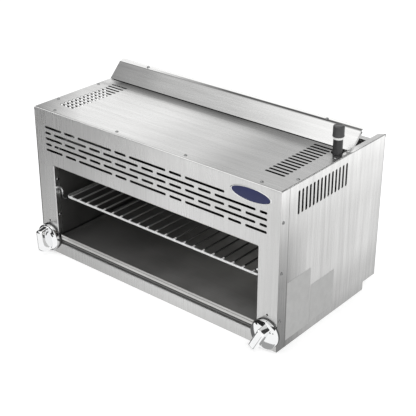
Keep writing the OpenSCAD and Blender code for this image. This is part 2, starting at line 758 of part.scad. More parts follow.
module pilot_valve() translate([knob_x, 0, pilot_z]) difference() {
    union() {
        translate([0, -232, 0]) rotate([-90, 0, 0]) cylinder(h = 32, r = 7.5, $fn = 6);
        translate([0, -238, 0]) rotate([-90, 0, 0]) cylinder(h = 7, r = 3);
        translate([0, manifold_y, 0]) rotate([0, -90, 0]) cylinder(h = 11, r = 4.5);
        translate([0, pilot_y, 0]) cylinder(h = 12, r = 4);
    }
    translate([-0.5, -239, -4]) cube([1, 2.4, 8]);
}

module pilot_valve_left() color("goldenrod") on_side("left") pilot_valve();
module pilot_valve_right() color("goldenrod") on_side("right") pilot_valve();

module pilot_feed() {
    bend = knob_x - 11 - pilot_boss_x;
    rod([pilot_boss_x, manifold_y, boss_top], [pilot_boss_x, manifold_y, pilot_z - bend], 3);
    quarter([pilot_boss_x + bend, manifold_y, pilot_z - bend], [-1, 0, 0], [0, 0, 1], bend, 3);
}

module pilot_feed_left() color("gainsboro") on_side("left") pilot_feed();
module pilot_feed_right() color("gainsboro") on_side("right") pilot_feed();

// Tube up the side space and the pilot's nozzle at the corner of the burner
module pilot_burner() {
    bend = 12;
    nozzle_x = 374;
    rod([knob_x, pilot_y, pilot_z + 12], [knob_x, pilot_y, pilot_burner_z - bend], 2.4);
    quarter([knob_x - bend, pilot_y, pilot_burner_z - bend], [1, 0, 0], [0, 0, 1], bend, 2.4);
    rod([knob_x - bend, pilot_y, pilot_burner_z], [nozzle_x - 2, pilot_y, pilot_burner_z], 2.4);
    translate([nozzle_x, pilot_y, pilot_burner_z]) rotate([0, -90, 0]) difference() {
        cylinder(h = 34, r = 5);
        translate([0, 0, 20]) cylinder(h = 15, r = 3.5);
    }
}

module pilot_burner_left() color("gainsboro") on_side("left") pilot_burner();
module pilot_burner_right() color("gainsboro") on_side("right") pilot_burner();

// ---- plates and screws -----------------------------------------------------

badge_at = [361, 441];
badge_size = [134, 38];

// Blank oval plate at the right end of the fascia
module badge_plate() color("navy")
    translate([badge_at[0], front_y, badge_at[1]]) rotate([90, 0, 0])
        scale([badge_size[0] / badge_size[1], 1, 1]) cylinder(h = 2.5, r = badge_size[1] / 2, $fn = 96);

// Blank foil plates on the right hand side
module data_plates() color("whitesmoke") {
    translate([side_x, -206, 20]) cube([0.3, 108, 178]);
    translate([side_x, -94, 24]) cube([0.3, 112, 118]);
}

module panel_screws() color("lightgray") {
    for (p = top_screw_places) translate([p[0], p[1], top_z]) pan_screw();
    for (side = ["left", "right"], p = side_screw_places) on_side(side)
        translate([side_x, p[0], p[1]]) rotate([0, 90, 0]) pan_screw();
    for (s = [-1, 1]) translate([s * lip_screw_x, 0, 0]) lip_screw() translate([0, 0, 0.7]) pan_screw();
}

module liner_screws() color("whitesmoke")
    for (side = ["left", "right"], p = liner_screw_places) on_side(side)
        translate([opening_x, p[0], p[1]]) rotate([0, -90, 0]) pan_screw();

front_panel();
top_panel();
side_panel_left();
side_panel_right();
back_panel();
base_panel();
flue_deflector();
flue_baffle();
heat_shield();
burner_deck();
liner_left();
liner_right();
liner_back();
tray_runner_left();
tray_runner_right();
tray_ledge();
rack_guide_left();
rack_guide_right();
wire_rack();
crumb_tray();
burner_body_left();
burner_body_right();
burner_frame_left();
burner_frame_right();
burner_tiles_left();
burner_tiles_right();
burner_screen_left();
burner_screen_right();
mixer_tube_left();
mixer_tube_right();
orifice_left();
orifice_right();
supply_tube_left();
supply_tube_right();
manifold();
elbow_front();
feed_pipe();
elbow_rear();
inlet_pipe();
seal_ring();
thread_cap();
valve_left();
valve_right();
valve_stem_left();
valve_stem_right();
knob_left();
knob_right();
bezel_left();
bezel_right();
pilot_valve_left();
pilot_valve_right();
pilot_feed_left();
pilot_feed_right();
pilot_burner_left();
pilot_burner_right();
badge_plate();
data_plates();
panel_screws();
liner_screws();
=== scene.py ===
"""Dresses a gas cheese melter: sheet finishes, finer knobs, wires, badge and seal, studio and camera."""

import math

import bmesh
import bpy
from mathutils import Matrix, Vector


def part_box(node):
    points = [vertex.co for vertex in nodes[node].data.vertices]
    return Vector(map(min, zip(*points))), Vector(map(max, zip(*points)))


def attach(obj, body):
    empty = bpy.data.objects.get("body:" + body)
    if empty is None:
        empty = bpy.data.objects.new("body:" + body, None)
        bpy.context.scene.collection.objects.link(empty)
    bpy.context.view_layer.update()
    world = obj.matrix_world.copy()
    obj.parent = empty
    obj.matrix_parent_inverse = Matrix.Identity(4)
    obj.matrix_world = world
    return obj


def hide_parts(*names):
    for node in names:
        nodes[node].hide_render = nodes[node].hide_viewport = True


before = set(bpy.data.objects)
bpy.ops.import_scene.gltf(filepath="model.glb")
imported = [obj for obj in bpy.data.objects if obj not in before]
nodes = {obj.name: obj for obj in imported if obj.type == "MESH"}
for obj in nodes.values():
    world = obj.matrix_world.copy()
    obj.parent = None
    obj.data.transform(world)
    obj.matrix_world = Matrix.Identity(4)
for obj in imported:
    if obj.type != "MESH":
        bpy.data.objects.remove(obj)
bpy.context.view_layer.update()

MM = 0.001
SIDES = ("left", "right")
FRONT_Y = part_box("front_panel")[0].y


def linked(bm, name):
    """Ends the mesh work and puts the piece into the scene."""
    mesh = bpy.data.meshes.new(name)
    bm.to_mesh(mesh)
    bm.free()
    piece = bpy.data.objects.new(name, mesh)
    bpy.context.scene.collection.objects.link(piece)
    return piece


# ---- studio and camera ------------------------------------------------------

CAMERA_PLACE = Vector((1.7857, -2.1106, 1.5878))
CAMERA_AZIMUTH = math.radians(40.01)
CAMERA_ELEVATION = math.radians(26.81)
LENS = 89.2
SENSOR = 36.0
DIFFUSE_WORLD = 0.78
FLOOR_Z = -0.4 * MM
FLOOR_SIZE = 14
FLOOR_GREY = 0.8
FLOOR_GLOW = 0.45
CARD_DISTANCE = 4.0
CARD_STEPS = 24
LAMP_AIM = Vector((0, 0, 0.25))


def look(azimuth, elevation):
    """Direction of view: azimuth 0 looks along +Y, elevation is above the horizon."""
    flat = math.cos(elevation)
    return Vector((-math.sin(azimuth) * flat, math.cos(azimuth) * flat, -math.sin(elevation)))


def make_camera():
    camera = bpy.data.objects.new("camera", bpy.data.cameras.new("camera"))
    bpy.context.scene.collection.objects.link(camera)
    camera.data.lens = LENS
    camera.data.sensor_width = SENSOR
    camera.location = CAMERA_PLACE
    camera.rotation_mode = "QUATERNION"
    camera.rotation_quaternion = look(CAMERA_AZIMUTH, CAMERA_ELEVATION).to_track_quat("-Z", "Y")
    bpy.context.scene.camera = camera


def shows_backdrop(tree):
    """A value that is 1 for the rays that see the white backdrop: camera, mirror and glass rays."""
    path = tree.nodes.new("ShaderNodeLightPath")
    seen = path.outputs["Is Camera Ray"]
    for ray in ("Is Glossy Ray", "Is Transmission Ray"):
        larger = tree.nodes.new("ShaderNodeMath")
        larger.operation = "MAXIMUM"
        tree.links.new(seen, larger.inputs[0])
        tree.links.new(path.outputs[ray], larger.inputs[1])
        seen = larger.outputs[0]
    return seen


def make_world():
    world = bpy.data.worlds.new("studio")
    bpy.context.scene.world = world
    world.use_nodes = True
    tree = world.node_tree
    tree.nodes.clear()
    lit = tree.nodes.new("ShaderNodeBackground")
    lit.inputs["Color"].default_value = (1, 1, 1, 1)
    lit.inputs["Strength"].default_value = DIFFUSE_WORLD
    white = tree.nodes.new("ShaderNodeBackground")
    white.inputs["Color"].default_value = (1, 1, 1, 1)
    mix = tree.nodes.new("ShaderNodeMixShader")
    tree.links.new(shows_backdrop(tree), mix.inputs["Fac"])
    tree.links.new(lit.outputs[0], mix.inputs[1])
    tree.links.new(white.outputs[0], mix.inputs[2])
    out = tree.nodes.new("ShaderNodeOutputWorld")
    tree.links.new(mix.outputs[0], out.inputs["Surface"])


def make_floor():
    """White floor: matt for the light that falls on it, with a glow where it is seen."""
    bm = bmesh.new()
    bmesh.ops.create_grid(bm, x_segments=1, y_segments=1, size=FLOOR_SIZE / 2)
    bmesh.ops.translate(bm, vec=(0, 0, FLOOR_Z), verts=bm.verts)
    floor = linked(bm, "floor")
    material = bpy.data.materials.new("white floor")
    material.use_nodes = True
    tree = material.node_tree
    tree.nodes.clear()
    matt = tree.nodes.new("ShaderNodeBsdfDiffuse")
    matt.inputs["Color"].default_value = (FLOOR_GREY, FLOOR_GREY, FLOOR_GREY, 1)
    glow = tree.nodes.new("ShaderNodeEmission")
    gain = tree.nodes.new("ShaderNodeMath")
    gain.operation = "MULTIPLY"
    tree.links.new(shows_backdrop(tree), gain.inputs[0])
    gain.inputs[1].default_value = FLOOR_GLOW
    tree.links.new(gain.outputs[0], glow.inputs["Strength"])
    both = tree.nodes.new("ShaderNodeAddShader")
    tree.links.new(matt.outputs[0], both.inputs[0])
    tree.links.new(glow.outputs[0], both.inputs[1])
    out = tree.nodes.new("ShaderNodeOutputMaterial")
    tree.links.new(both.outputs[0], out.inputs["Surface"])
    floor.data.materials.append(material)
    floor.visible_glossy = False


def card(name, azimuths, elevations, grey):
    """A grey card out in the studio, seen only in mirror reflections.

    Its azimuths run from the front (0) round by the left (90) to the rear (180), in degrees.
    """
    bm = bmesh.new()
    start, end = (math.radians(a) for a in azimuths)
    low, high = (math.radians(e) for e in elevations)
    points = []
    for i in range(CARD_STEPS + 1):
        rise = low + (high - low) * i / CARD_STEPS
        out = CARD_DISTANCE * math.cos(rise)
        points.append(bm.verts.new((-math.sin(start) * out, -math.cos(start) * out,
                                    CARD_DISTANCE * math.sin(rise))))
    edges = [bm.edges.new(pair) for pair in zip(points, points[1:])]
    bmesh.ops.spin(bm, geom=points + edges, axis=(0, 0, 1), cent=(0, 0, 0),
                   angle=start - end, steps=CARD_STEPS)
    piece = linked(bm, name)
    for ray in ("camera", "diffuse", "transmission", "volume_scatter", "shadow"):
        setattr(piece, f"visible_{ray}", False)
    material = bpy.data.materials.new(name)
    material.use_nodes = True
    tree = material.node_tree
    tree.nodes.clear()
    glow = tree.nodes.new("ShaderNodeEmission")
    glow.inputs["Color"].default_value = (grey, grey, grey, 1)
    out = tree.nodes.new("ShaderNodeOutputMaterial")
    tree.links.new(glow.outputs[0], out.inputs["Surface"])
    piece.data.materials.append(material)


def lamp(name, place, size, power):
    """A square lamp that points at the middle of the cabinet."""
    light = bpy.data.lights.new(name, "AREA")
    light.size = size
    light.energy = power
    piece = bpy.data.objects.new(name, light)
    bpy.context.scene.collection.objects.link(piece)
    piece.location = place
    piece.rotation_mode = "QUATERNION"
    piece.rotation_quaternion = (LAMP_AIM - Vector(place)).to_track_quat("-Z", "Y")


make_camera()
make_world()
make_floor()
card("dark front", (16, 40), (-9, 15), 0.02)
card("dark front left", (40, 56), (-14, 17), 0.02)
card("dark left", (56, 96), (-16, 34), 0.03)
card("dark rear left", (102, 116), (22, 38), 0.04)
card("dim left", (54, 122), (-58, -16), 0.14)
card("grey ground", (-22, 56), (-89, -44), 0.36)
card("dark rear", (195, 245), (22, 65), 0.05)
lamp("right key", (2.4, -1.6, 2.2), 1.6, 16)
lamp("top fill", (-0.6, -0.4, 3.0), 2.2, 14)
bpy.context.scene.view_settings.view_transform = "Standard"

# ---- finishes ---------------------------------------------------------------


class Finish:
    """One procedural material: a Principled shader and short ways to feed it."""

    def __init__(self, name, colour, metallic=0.0, roughness=0.5):
        self.material = bpy.data.materials.new(name)
        self.material.use_nodes = True
        self.tree = self.material.node_tree
        self.shader = self.tree.nodes["Principled BSDF"]
        self.tint = (*colour, 1.0)
        self.set("Base Color", self.tint)
        self.set("Metallic", metallic)
        self.set("Roughness", roughness)
        self.place = self.tree.nodes.new("ShaderNodeTexCoord").outputs["Object"]
        self.axes = self.tree.nodes.new("ShaderNodeSeparateXYZ")
        self.tree.links.new(self.place, self.axes.inputs[0])

    def put(self, socket, value):
        if isinstance(value, bpy.types.NodeSocket):
            self.tree.links.new(value, socket)
        else:
            socket.default_value = value

    def set(self, name, value):
        self.put(self.shader.inputs[name], value)

    def along(self, axis):
        return self.axes.outputs[axis]

    def math(self, operation, a, b=0.0):
        node = self.tree.nodes.new("ShaderNodeMath")
        node.operation = operation
        self.put(node.inputs[0], a)
        self.put(node.inputs[1], b)
        return node.outputs[0]

    def times(self, value, *others):
        """The product of its values."""
        for other in others:
            value = self.math("MULTIPLY", value, other)
        return value

    def rest(self, share):
        """What a share leaves of 1."""
        return self.math("SUBTRACT", 1.0, share)

    def blend(self, share, plain, full):
        """One value where the share is 0, running to another where it is 1."""
        return self.math("ADD", self.times(plain, self.rest(share)), self.times(full, share))

    def off(self, axis, place):
        """Distance from a place on an axis."""
        return self.math("ABSOLUTE", self.math("SUBTRACT", self.along(axis), place))

    def span(self, value, low, high, out_low=0.0, out_high=1.0):
        """The value mapped from low..high to out_low..out_high, and held at both ends."""
        node = self.tree.nodes.new("ShaderNodeMapRange")
        self.put(node.inputs["Value"], value)
        node.inputs["From Min"].default_value = low
        node.inputs["From Max"].default_value = high
        node.inputs["To Min"].default_value = out_low
        node.inputs["To Max"].default_value = out_high
        return node.outputs[0]

    def noise(self, scale, detail=2.0, stretch=(1, 1, 1)):
        """Noise whose grains are 1/scale metres wide, or longer where stretch is below 1."""
        mapping = self.tree.nodes.new("ShaderNodeMapping")
        self.tree.links.new(self.place, mapping.inputs["Vector"])
        mapping.inputs["Scale"].default_value = stretch
        node = self.tree.nodes.new("ShaderNodeTexNoise")
        self.tree.links.new(mapping.outputs[0], node.inputs["Vector"])
        node.inputs["Scale"].default_value = scale
        node.inputs["Detail"].default_value = detail
        return node.outputs["Fac"]

    def sway(self, value, amount):
        """1 plus or minus amount, as a noise value runs through its usual range."""
        return self.span(value, 0.3, 0.7, 1 - amount, 1 + amount)

    def tone(self, value, low, high, stops):
        """A smooth run of greys over low..high, from (share, grey) stops."""
        node = self.tree.nodes.new("ShaderNodeValToRGB")
        node.color_ramp.interpolation = "EASE"
        while len(node.color_ramp.elements) < len(stops):
            node.color_ramp.elements.new(0.5)
        for element, (share, grey) in zip(node.color_ramp.elements, stops):
            element.position = share
            element.color = (grey, grey, grey, 1)
        self.tree.links.new(self.span(value, low, high), node.inputs["Fac"])
        return node.outputs["Color"]

    def coloured(self, grey):
        """Sends tint times a grey value to the base colour."""
        node = self.tree.nodes.new("ShaderNodeMix")
        node.data_type = "RGBA"
        node.blend_type = "MULTIPLY"
        node.inputs["Factor"].default_value = 1
        colours = [s for s in node.inputs if s.type == "RGBA"]
        self.put(colours[0], grey)
        colours[1].default_value = self.tint
        result = next(s for s in node.outputs if s.type == "RGBA")
        self.tree.links.new(result, self.shader.inputs["Base Color"])

    def bump(self, height, strength, distance):
        node = self.tree.nodes.new("ShaderNodeBump")
        node.inputs["Strength"].default_value = strength
        node.inputs["Distance"].default_value = distance
        self.put(node.inputs["Height"], height)
        self.tree.links.new(node.outputs[0], self.shader.inputs["Normal"])


STEEL_TINT = (1.0, 0.998, 0.99)
CHROME_TINT = (0.99, 0.995, 1.0)
FINE_BRUSHING = {"X": (0.012, 1, 1), "Z": (1, 1, 0.012)}
BROAD_BRUSHING = {"X": (0.04, 1, 1), "Z": (1, 1, 0.04)}


def brushed(name, grain, painted_light, roughness, streaks):
    """Brushed stainless sheet. painted_light gives its broad grey run of painted reflection and painted
    shade, and grain is the axis it is brushed along.
    """
    steel = Finish(name, STEEL_TINT, metallic=1.0, roughness=roughness)
    fine = steel.noise(900, 3, FINE_BRUSHING[grain])
    band = steel.noise(70, 2, BROAD_BRUSHING[grain])
    cloud = steel.noise(6, 2)
    steel.coloured(steel.times(painted_light(steel), steel.sway(fine, 0.07), steel.sway(band, streaks),
                               steel.sway(cloud, 0.02)))
    steel.set("Roughness", steel.times(steel.sway(fine, 0.18), steel.sway(cloud, 0.12), roughness))
    steel.bump(fine, 0.08, 0.15 * MM)
    return steel.material


# Places on the cabinet that the finishes follow, in the shared frame. A pair says where a change of
# tone starts and ends.
HALF_W = 457 * MM
HALF_OPENING = 380 * MM
TOP_Z = 477 * MM
FASCIA_TOP_Z = 480 * MM
TOP_FOLD_Z = 474 * MM
FRONT_SEAM_Y = -209 * MM
REAR_FOLD_Y = 240 * MM
DEFLECTOR_FOLD_Y = 118 * MM
LIP_MIDDLE_Y = 126 * MM
LIP_REAR_Y = 135 * MM
TRAY_LIP_Y = -239 * MM
HEM_GROOVE_Z = 62.9 * MM
LEDGE_BAND_Z = 40.6 * MM
# The pairs below place painted reflections, painted highlights and painted shade.
FASCIA_LIGHT_X = (-HALF_W, -120 * MM)
FASCIA_LIGHT_Z = (330 * MM, 470 * MM)
TOP_CORNER_SHADE_REACH = (20 * MM, 200 * MM)
DEFLECTOR_SHADE_Y = (14 * MM, 70 * MM)
SHADE_ENDS_RIGHT_X = (60 * MM, 330 * MM)
SHADE_ENDS_LEFT_X = (-395 * MM, -430 * MM)
SIDE_LIGHTER_Y = (-60 * MM, 200 * MM)
SIDE_SHADE_Y = (-214 * MM, -110 * MM)
SIDE_SHADE_Z = (200 * MM, 460 * MM)
TOP_FOLD_SHADE_Y = (80 * MM, 140 * MM)
TRAY_LIT_X = (-140 * MM, HALF_OPENING)
TRAY_LIT_Y = (-140 * MM, 60 * MM)
RACK_FRONT_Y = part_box("wire_rack")[0].y
RACK_SHADE_Y = (RACK_FRONT_Y + 9 * MM, RACK_FRONT_Y + 12 * MM)
GUIDE_FOOT_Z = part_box("rack_guide_left")[0].z
GUIDE_HIGHLIGHT_Z = (GUIDE_FOOT_Z + 10 * MM, GUIDE_FOOT_Z + 26 * MM)


def line_at(steel, axis, place, half, depth):
    """A dark line across the sheet at a place on an axis, such as a seam: depth is the grey left in it."""
    return steel.span(steel.off(axis, place), 0.4 * half, half, depth, 1.0)


def fascia_painted_light(steel):
    """Painted reflection: brightest right of the middle and upwards, with a lighter upper left corner."""
    run = steel.tone(steel.along("X"), -HALF_W, HALF_W,
                     [(0, 0.65), (0.2, 0.62), (0.4, 0.66), (0.62, 0.74), (0.85, 0.70), (1, 0.64)])
    up = steel.tone(steel.along("Z"), 0, FASCIA_TOP_Z, [(0, 0.86), (0.12, 0.98), (0.8, 1.03), (1, 1.12)])
    high = steel.span(steel.along("Z"), *FASCIA_LIGHT_Z, 0.0, 0.42)
    left = steel.span(steel.along("X"), *FASCIA_LIGHT_X, 1.0, 0.0)
    return steel.times(run, up, steel.math("ADD", 1.0, steel.times(high, left)))


def top_painted_light(steel):
    """Painted reflection, bright at the left and dim at the right, with a painted dark reflection at the
    front left corner and painted shade before the deflector.
    """
    run = steel.tone(steel.along("X"), -HALF_W, HALF_W,
                     [(0, 0.66), (0.15, 0.78), (0.35, 0.80), (0.6, 0.62), (0.8, 0.42), (1, 0.46)])
    # painted dark reflection in the front left corner, then painted shade in a band before the deflector
    from_corner = steel.math("ADD", steel.math("ADD", steel.along("X"), HALF_W),
                             steel.math("SUBTRACT", steel.along("Y"), FRONT_Y))
    corner = steel.span(from_corner, *TOP_CORNER_SHADE_REACH, 0.4, 1.0)
    shade = steel.tone(steel.along("Y"), *DEFLECTOR_SHADE_Y,
                       [(0, 1.0), (0.25, 0.8), (0.45, 0.48), (0.65, 0.33), (1, 0.16)])
    fade_right = steel.span(steel.along("X"), *SHADE_ENDS_RIGHT_X)
    fade_left = steel.span(steel.along("X"), *SHADE_ENDS_LEFT_X, 0.0, 1.6)
    fade = steel.math("MAXIMUM", fade_right, fade_left)
    faded = steel.math("ADD", shade, steel.times(fade, steel.math("SUBTRACT", 0.75, shade)))
    return steel.times(run, corner, steel.math("MAXIMUM", shade, faded))


def side_painted_light(steel):
    """Painted reflection that is lighter upwards and to the rear, with painted shade darkest at the lower
    front corner.

    The front strip's seam is a dark line, the rear fold is a line of painted shade, and the top fold takes
    painted shade towards the rear.
    """
    up = steel.tone(steel.along("Z"), 0, TOP_Z,
                    [(0, 0.37), (0.12, 0.45), (0.38, 0.60), (0.62, 0.63), (0.85, 0.72), (1, 0.84)])
    rearwards = steel.span(steel.along("Y"), *SIDE_LIGHTER_Y, 1.0, 1.12)
    # painted shade at the lower front corner
    near = steel.span(steel.along("Y"), *SIDE_SHADE_Y, 0.5, 0.0)
    low = steel.span(steel.along("Z"), *SIDE_SHADE_Z, 1.0, 0.0)
    seam = line_at(steel, "Y", FRONT_SEAM_Y, 1.6 * MM, 0.45)
    fold = steel.times(steel.span(steel.along("Z"), TOP_FOLD_Z - 0.4 * MM, TOP_FOLD_Z + 0.2 * MM),
                       steel.span(steel.along("Y"), *TOP_FOLD_SHADE_Y, 0.0, 0.4))
    rear = steel.span(steel.along("Y"), REAR_FOLD_Y, REAR_FOLD_Y + 1 * MM, 1.0, 0.25)
    return steel.times(up, rearwards, steel.rest(steel.times(near, low)), seam, steel.rest(fold), rear)


def deflector_painted_light(steel):
    """The leaning face in painted reflection, lines of painted shade at its fold and at the rear edge, and
    the lip.

    The lip's front half is a painted reflection running from white at the left to dark, and its rear half is
    a painted highlight.
    """
    face = steel.tone(steel.along("X"), -HALF_W, HALF_W,
                      [(0, 0.30), (0.12, 0.35), (0.25, 0.45), (0.5, 0.47), (0.7, 0.49), (1, 0.54)])
    lip_front = steel.tone(steel.along("X"), -HALF_W, HALF_W,
                           [(0, 0.95), (0.15, 0.9), (0.24, 0.66), (0.33, 0.42), (0.42, 0.24), (0.5, 0.1),
                            (0.84, 0.08), (1, 0.16)])
    lip_rear = steel.span(steel.along("Y"), LIP_MIDDLE_Y - 1 * MM, LIP_MIDDLE_Y + 1 * MM, 0.0, 0.97)
    on_lip = steel.span(steel.along("Y"), DEFLECTOR_FOLD_Y + 0.4 * MM, DEFLECTOR_FOLD_Y + 1 * MM)
    grey = steel.blend(on_lip, face, steel.math("MAXIMUM", lip_front, lip_rear))
    fold = line_at(steel, "Y", DEFLECTOR_FOLD_Y, 1.4 * MM, 0.6)
    edge = line_at(steel, "Y", LIP_REAR_Y, 1.6 * MM, 0.6)
    return steel.times(grey, fold, edge)


def mottled(name, grey, roughness):
    """Dull aluminised sheet with a faint spangle."""
    steel = Finish(name, STEEL_TINT, metallic=1.0, roughness=roughness)
    spangle = steel.noise(110, 1)
    cloud = steel.noise(12, 3)
    steel.coloured(steel.times(steel.sway(spangle, 0.06), steel.sway(cloud, 0.08), grey))
    steel.set("Roughness", steel.times(steel.sway(spangle, 0.15), roughness))
    steel.bump(cloud, 0.05, 0.5 * MM)
    return steel.material


def stained_and_shaded(name, grey, metallic, roughness):
    """Sheet in painted shade, darkest at the left with painted light towards the right, and with soft stains
    and scratches from front to rear.
    """
    sheet = Finish(name, (1.0, 0.985, 0.96), metallic=metallic, roughness=roughness)
    stain = sheet.noise(9, 4)
    scratch = sheet.noise(420, 2, (1, 0.03, 1))
    run = sheet.tone(sheet.along("X"), -HALF_OPENING, HALF_OPENING,
                     [(0, grey), (0.4, 1.4 * grey), (0.75, 5 * grey), (1, 8 * grey)])
    sheet.coloured(sheet.times(sheet.sway(stain, 0.3), sheet.sway(scratch, 0.08), run))
    sheet.set("Roughness", sheet.times(sheet.sway(stain, 0.15), roughness))
    sheet.bump(scratch, 0.08, 0.1 * MM)
    return sheet.material


def tray_finish():
    """Floor with heat stains, in painted shade with a painted pool of light at the rear right, and a bright
    front lip with a painted shade line under its hem.
    """
    tray = Finish("tray steel", (1.0, 0.99, 0.97))
    stain = tray.noise(7, 4)
    grain = tray.noise(700, 2, FINE_BRUSHING["X"])
    run = tray.span(tray.along("X"), -HALF_OPENING, HALF_OPENING, 0.09, 0.21)
    # painted light: the floor grows lighter towards the rear right
    lit_right = tray.span(tray.along("X"), *TRAY_LIT_X, 0.0, 1.7)
    lit_rear = tray.span(tray.along("Y"), *TRAY_LIT_Y)
    lit = tray.math("ADD", 1.0, tray.times(lit_right, lit_rear))
    floor = tray.times(tray.sway(stain, 0.25), run, lit)
    lip = tray.span(tray.along("Y"), TRAY_LIP_Y + 0.4 * MM, TRAY_LIP_Y - 0.4 * MM)
    groove_shade = tray.span(tray.off("Z", HEM_GROOVE_Z), 0.5 * MM, 1.2 * MM, 0.4, 1.0)
    grey = tray.blend(lip, floor, tray.times(groove_shade, 0.66))
    tray.coloured(tray.times(grey, tray.sway(grain, 0.06)))
    tray.set("Metallic", lip)
    tray.set("Roughness", tray.span(stain, 0.3, 0.7, 0.32, 0.48))
    tray.bump(grain, 0.1, 0.1 * MM)
    return tray.material


def polished(name, grey, roughness):
    """Chrome plate with faint wipe marks."""
    plate = Finish(name, CHROME_TINT, metallic=1.0, roughness=roughness)
    smear = plate.noise(45, 4)
    speck = plate.noise(600, 2)
    plate.coloured(plate.times(plate.sway(smear, 0.02), grey))
    plate.set("Roughness", plate.times(plate.sway(smear, 0.35), roughness))
    plate.bump(speck, 0.02, 0.05 * MM)
    return plate.material


def rack_finish():
    """Chromed wire: a painted highlight along the front, and painted shade further in, darkest at the right.
    """
    wires = Finish("rack chrome", CHROME_TINT, metallic=0.35)
    front = wires.span(wires.along("Y"), *RACK_SHADE_Y, 1.0, 0.0)
    shaded_run = wires.tone(wires.along("X"), -HALF_OPENING, HALF_OPENING,
                        [(0, 0.3), (0.45, 0.16), (0.75, 0.04), (1, 0.03)])
    grey = wires.blend(front, shaded_run, 0.97)
    wires.coloured(wires.times(grey, wires.sway(wires.noise(60, 3), 0.08)))
    wires.set("Roughness", wires.span(front, 0.0, 1.0, 0.45, 0.2))
    return wires.material


def guide_finish():
    """Chromed wire with a painted highlight where it curls behind the post and painted shade below."""
    wires = Finish("guide chrome", CHROME_TINT, metallic=0.7, roughness=0.25)
    wires.coloured(wires.span(wires.along("Z"), *GUIDE_HIGHLIGHT_Z, 0.05, 0.85))
    return wires.material


def cast(name, colour, metallic, roughness, grain=900, relief=0.3):
    """Rough surface with fine pits, such as black pipe or a casting."""
    iron = Finish(name, colour, metallic=metallic, roughness=roughness)
    pits = iron.noise(grain, 4)
    dust = iron.noise(40, 3)
    iron.coloured(iron.times(iron.sway(pits, 0.12), iron.sway(dust, 0.15)))
    iron.set("Roughness", iron.times(iron.sway(dust, 0.15), roughness))
    iron.bump(pits, relief, 0.15 * MM)
    return iron.material


def moulded(name, colour, roughness):
    """Moulded plastic or enamel with a faint orange peel."""
    skin = Finish(name, colour, roughness=roughness)
    peel = skin.noise(350, 2)
    cloud = skin.noise(30, 2)
    skin.coloured(skin.sway(cloud, 0.06))
    skin.set("Roughness", skin.times(skin.sway(cloud, 0.1), roughness))
    skin.bump(peel, 0.06, 0.08 * MM)
    return skin.material


def ceramic_finish():
    """Burner plaque: pale matt ceramic with a close pattern of small ports."""
    tile = Finish("burner ceramic", (0.78, 0.74, 0.66), roughness=0.85)
    ports = tile.tree.nodes.new("ShaderNodeTexVoronoi")
    tile.tree.links.new(tile.place, ports.inputs["Vector"])
    ports.inputs["Scale"].default_value = 420
    ports.inputs["Randomness"].default_value = 0.15
    open_port = tile.span(ports.outputs["Distance"], 0.25, 0.4, 0.2, 1.0)
    tile.coloured(tile.times(open_port, tile.sway(tile.noise(25, 3), 0.1)))
    tile.bump(open_port, 0.5, 0.6 * MM)
    return tile.material


def ledge_finish():
    """The strip under the tray's lip: a grey band with painted shade for the gaps above and below it."""
    ledge = Finish("ledge sheet", (1.0, 1.0, 0.99), roughness=0.5)
    band = ledge.span(ledge.off("Z", LEDGE_BAND_Z), 2.4 * MM, 3.4 * MM, 0.2, 0.012)
    ledge.coloured(ledge.times(band, ledge.sway(ledge.noise(500, 2, FINE_BRUSHING["X"]), 0.08)))
    return ledge.material


def foil_finish():
    """Blank satin foil plate, slightly crinkled."""
    foil = Finish("foil", (0.47, 0.47, 0.465), metallic=0.35, roughness=0.45)
    crinkle = foil.noise(60, 3)
    weave = foil.noise(1200, 1)
    foil.coloured(foil.times(foil.sway(crinkle, 0.05), foil.sway(weave, 0.03)))
    foil.bump(crinkle, 0.15, 0.3 * MM)
    return foil.material


FINISHES = {
    "fascia": brushed("fascia steel", "Z", fascia_painted_light, 0.32, 0.025),
    "top": brushed("top steel", "X", top_painted_light, 0.26, 0.06),
    "side": brushed("side steel", "Z", side_painted_light, 0.3, 0.09),
    "deflector": brushed("deflector steel", "X", deflector_painted_light, 0.26, 0.06),
    "plain": mottled("aluminised steel", 0.55, 0.42),
    # the inner aluminised steel is the plain one darkened as painted shade
    "inner": mottled("inner aluminised steel", 0.11, 0.5),
    # the lining's near black grey is painted shade
    "lining": stained_and_shaded("lining in painted shade", 0.05, 0.0, 0.5),
    "tray": tray_finish(),
    "rack_wire": rack_finish(),
    "guide_wire": guide_finish(),
    "ledge": ledge_finish(),
    "chrome": polished("knob chrome", 0.92, 0.06),
    # the bezel chrome is made nearly black as painted shade
    "painted_shade_chrome": polished("bezel chrome", 0.1, 0.18),
    "burner_steel": mottled("burner steel", 0.12, 0.5),
    "ceramic": ceramic_finish(),
    "glow_rod": cast("heat tinted rod", (0.16, 0.13, 0.11), 0.7, 0.5),
    "brass": cast("turned brass", (0.72, 0.55, 0.26), 1.0, 0.28, 500, 0.05),
    "tube": polished("drawn tube", 0.75, 0.3),
    "iron": cast("black pipe", (0.04, 0.04, 0.041), 0.15, 0.26),
    "tape": moulded("thread tape", (0.95, 0.95, 0.94), 0.55),
    "cap": moulded("cap plastic", (0.055, 0.055, 0.056), 0.36),
    "enamel": moulded("navy enamel", (0.013, 0.019, 0.095), 0.4),
    "rim": polished("badge rim", 0.85, 0.16),
    "foil": foil_finish(),
    "screw": polished("screw steel", 0.26, 0.16),
    "mark": moulded("dark mark", (0.03, 0.03, 0.03), 0.5),
}

